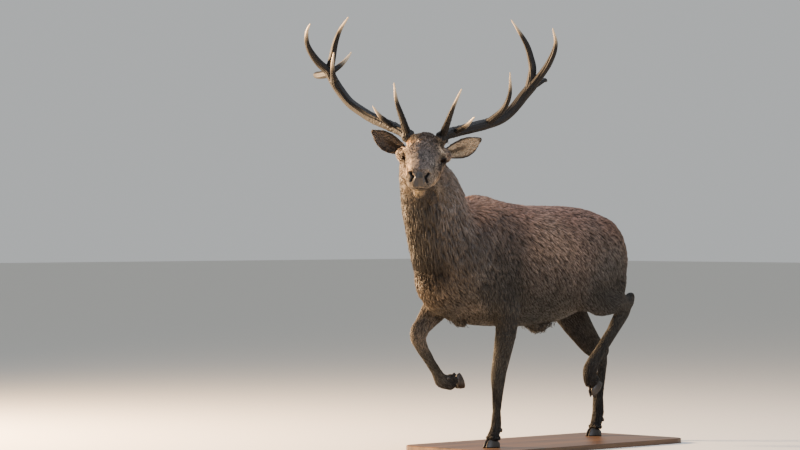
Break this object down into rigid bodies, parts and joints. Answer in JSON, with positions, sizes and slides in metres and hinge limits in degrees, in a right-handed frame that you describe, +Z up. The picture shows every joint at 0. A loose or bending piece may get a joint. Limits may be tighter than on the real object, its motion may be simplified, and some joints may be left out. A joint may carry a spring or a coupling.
{
  "type": "red deer stag model",
  "caption": "Life-size still model of a maned stag in winter coat, trotting with its head turned to its left, antlers spread, on a flat base.",
  "frame": {"origin": "on the underside of the stand's base, below the middle of the stag's barrel", "axes": "+X towards the stag's own left, -Y the way it walks, +Z up"},
  "size_m": [0.9985, 1.9141, 2.0002],
  "materials": {
    "coat": "short to medium winter hair, grey-brown to reddish brown",
    "mane": "long shaggy hair, dark brown with tan tips",
    "horn": "grooved and pearled bone, worn pale at the tips",
    "claw": "dark horn, satin",
    "eye": "wet dark brown, high gloss",
    "base": "dark oak, satin"
  },
  "bodies": {
    "root": {"antler_left_beam": "horn", "antler_left_bez": "horn", "antler_left_brow": "horn", "antler_left_inner": "horn", "antler_left_outer": "horn", "antler_left_rear": "horn", "antler_left_trez": "horn", "antler_right_beam": "horn", "antler_right_bez": "horn", "antler_right_brow": "horn", "antler_right_inner": "horn", "antler_right_outer": "horn", "antler_right_rear": "horn", "antler_right_third": "horn", "antler_right_trez": "horn", "claw_fore_left_left": "claw", "claw_fore_left_right": "claw", "claw_fore_right_left": "claw", "claw_fore_right_right": "claw", "claw_hind_left_left": "claw", "claw_hind_left_right": "claw", "claw_hind_right_left": "claw", "claw_hind_right_right": "claw", "dewclaw_fore_left_left": "claw", "dewclaw_fore_left_right": "claw", "dewclaw_fore_right_left": "claw", "dewclaw_fore_right_right": "claw", "dewclaw_hind_left_left": "claw", "dewclaw_hind_left_right": "claw", "dewclaw_hind_right_left": "claw", "dewclaw_hind_right_right": "claw", "ear_left": "coat", "ear_right": "coat", "eye_left": "eye", "eye_right": "eye", "head": "coat", "leg_fore_left_lower": "coat", "leg_fore_left_upper": "coat", "leg_fore_right_lower": "coat", "leg_fore_right_upper": "coat", "leg_hind_left_lower": "coat", "leg_hind_left_upper": "coat", "leg_hind_right_lower": "coat", "leg_hind_right_upper": "coat", "neck": "mane", "stand_base": "base", "tail": "coat", "trunk": "coat"}
  },
  "joints": []
}
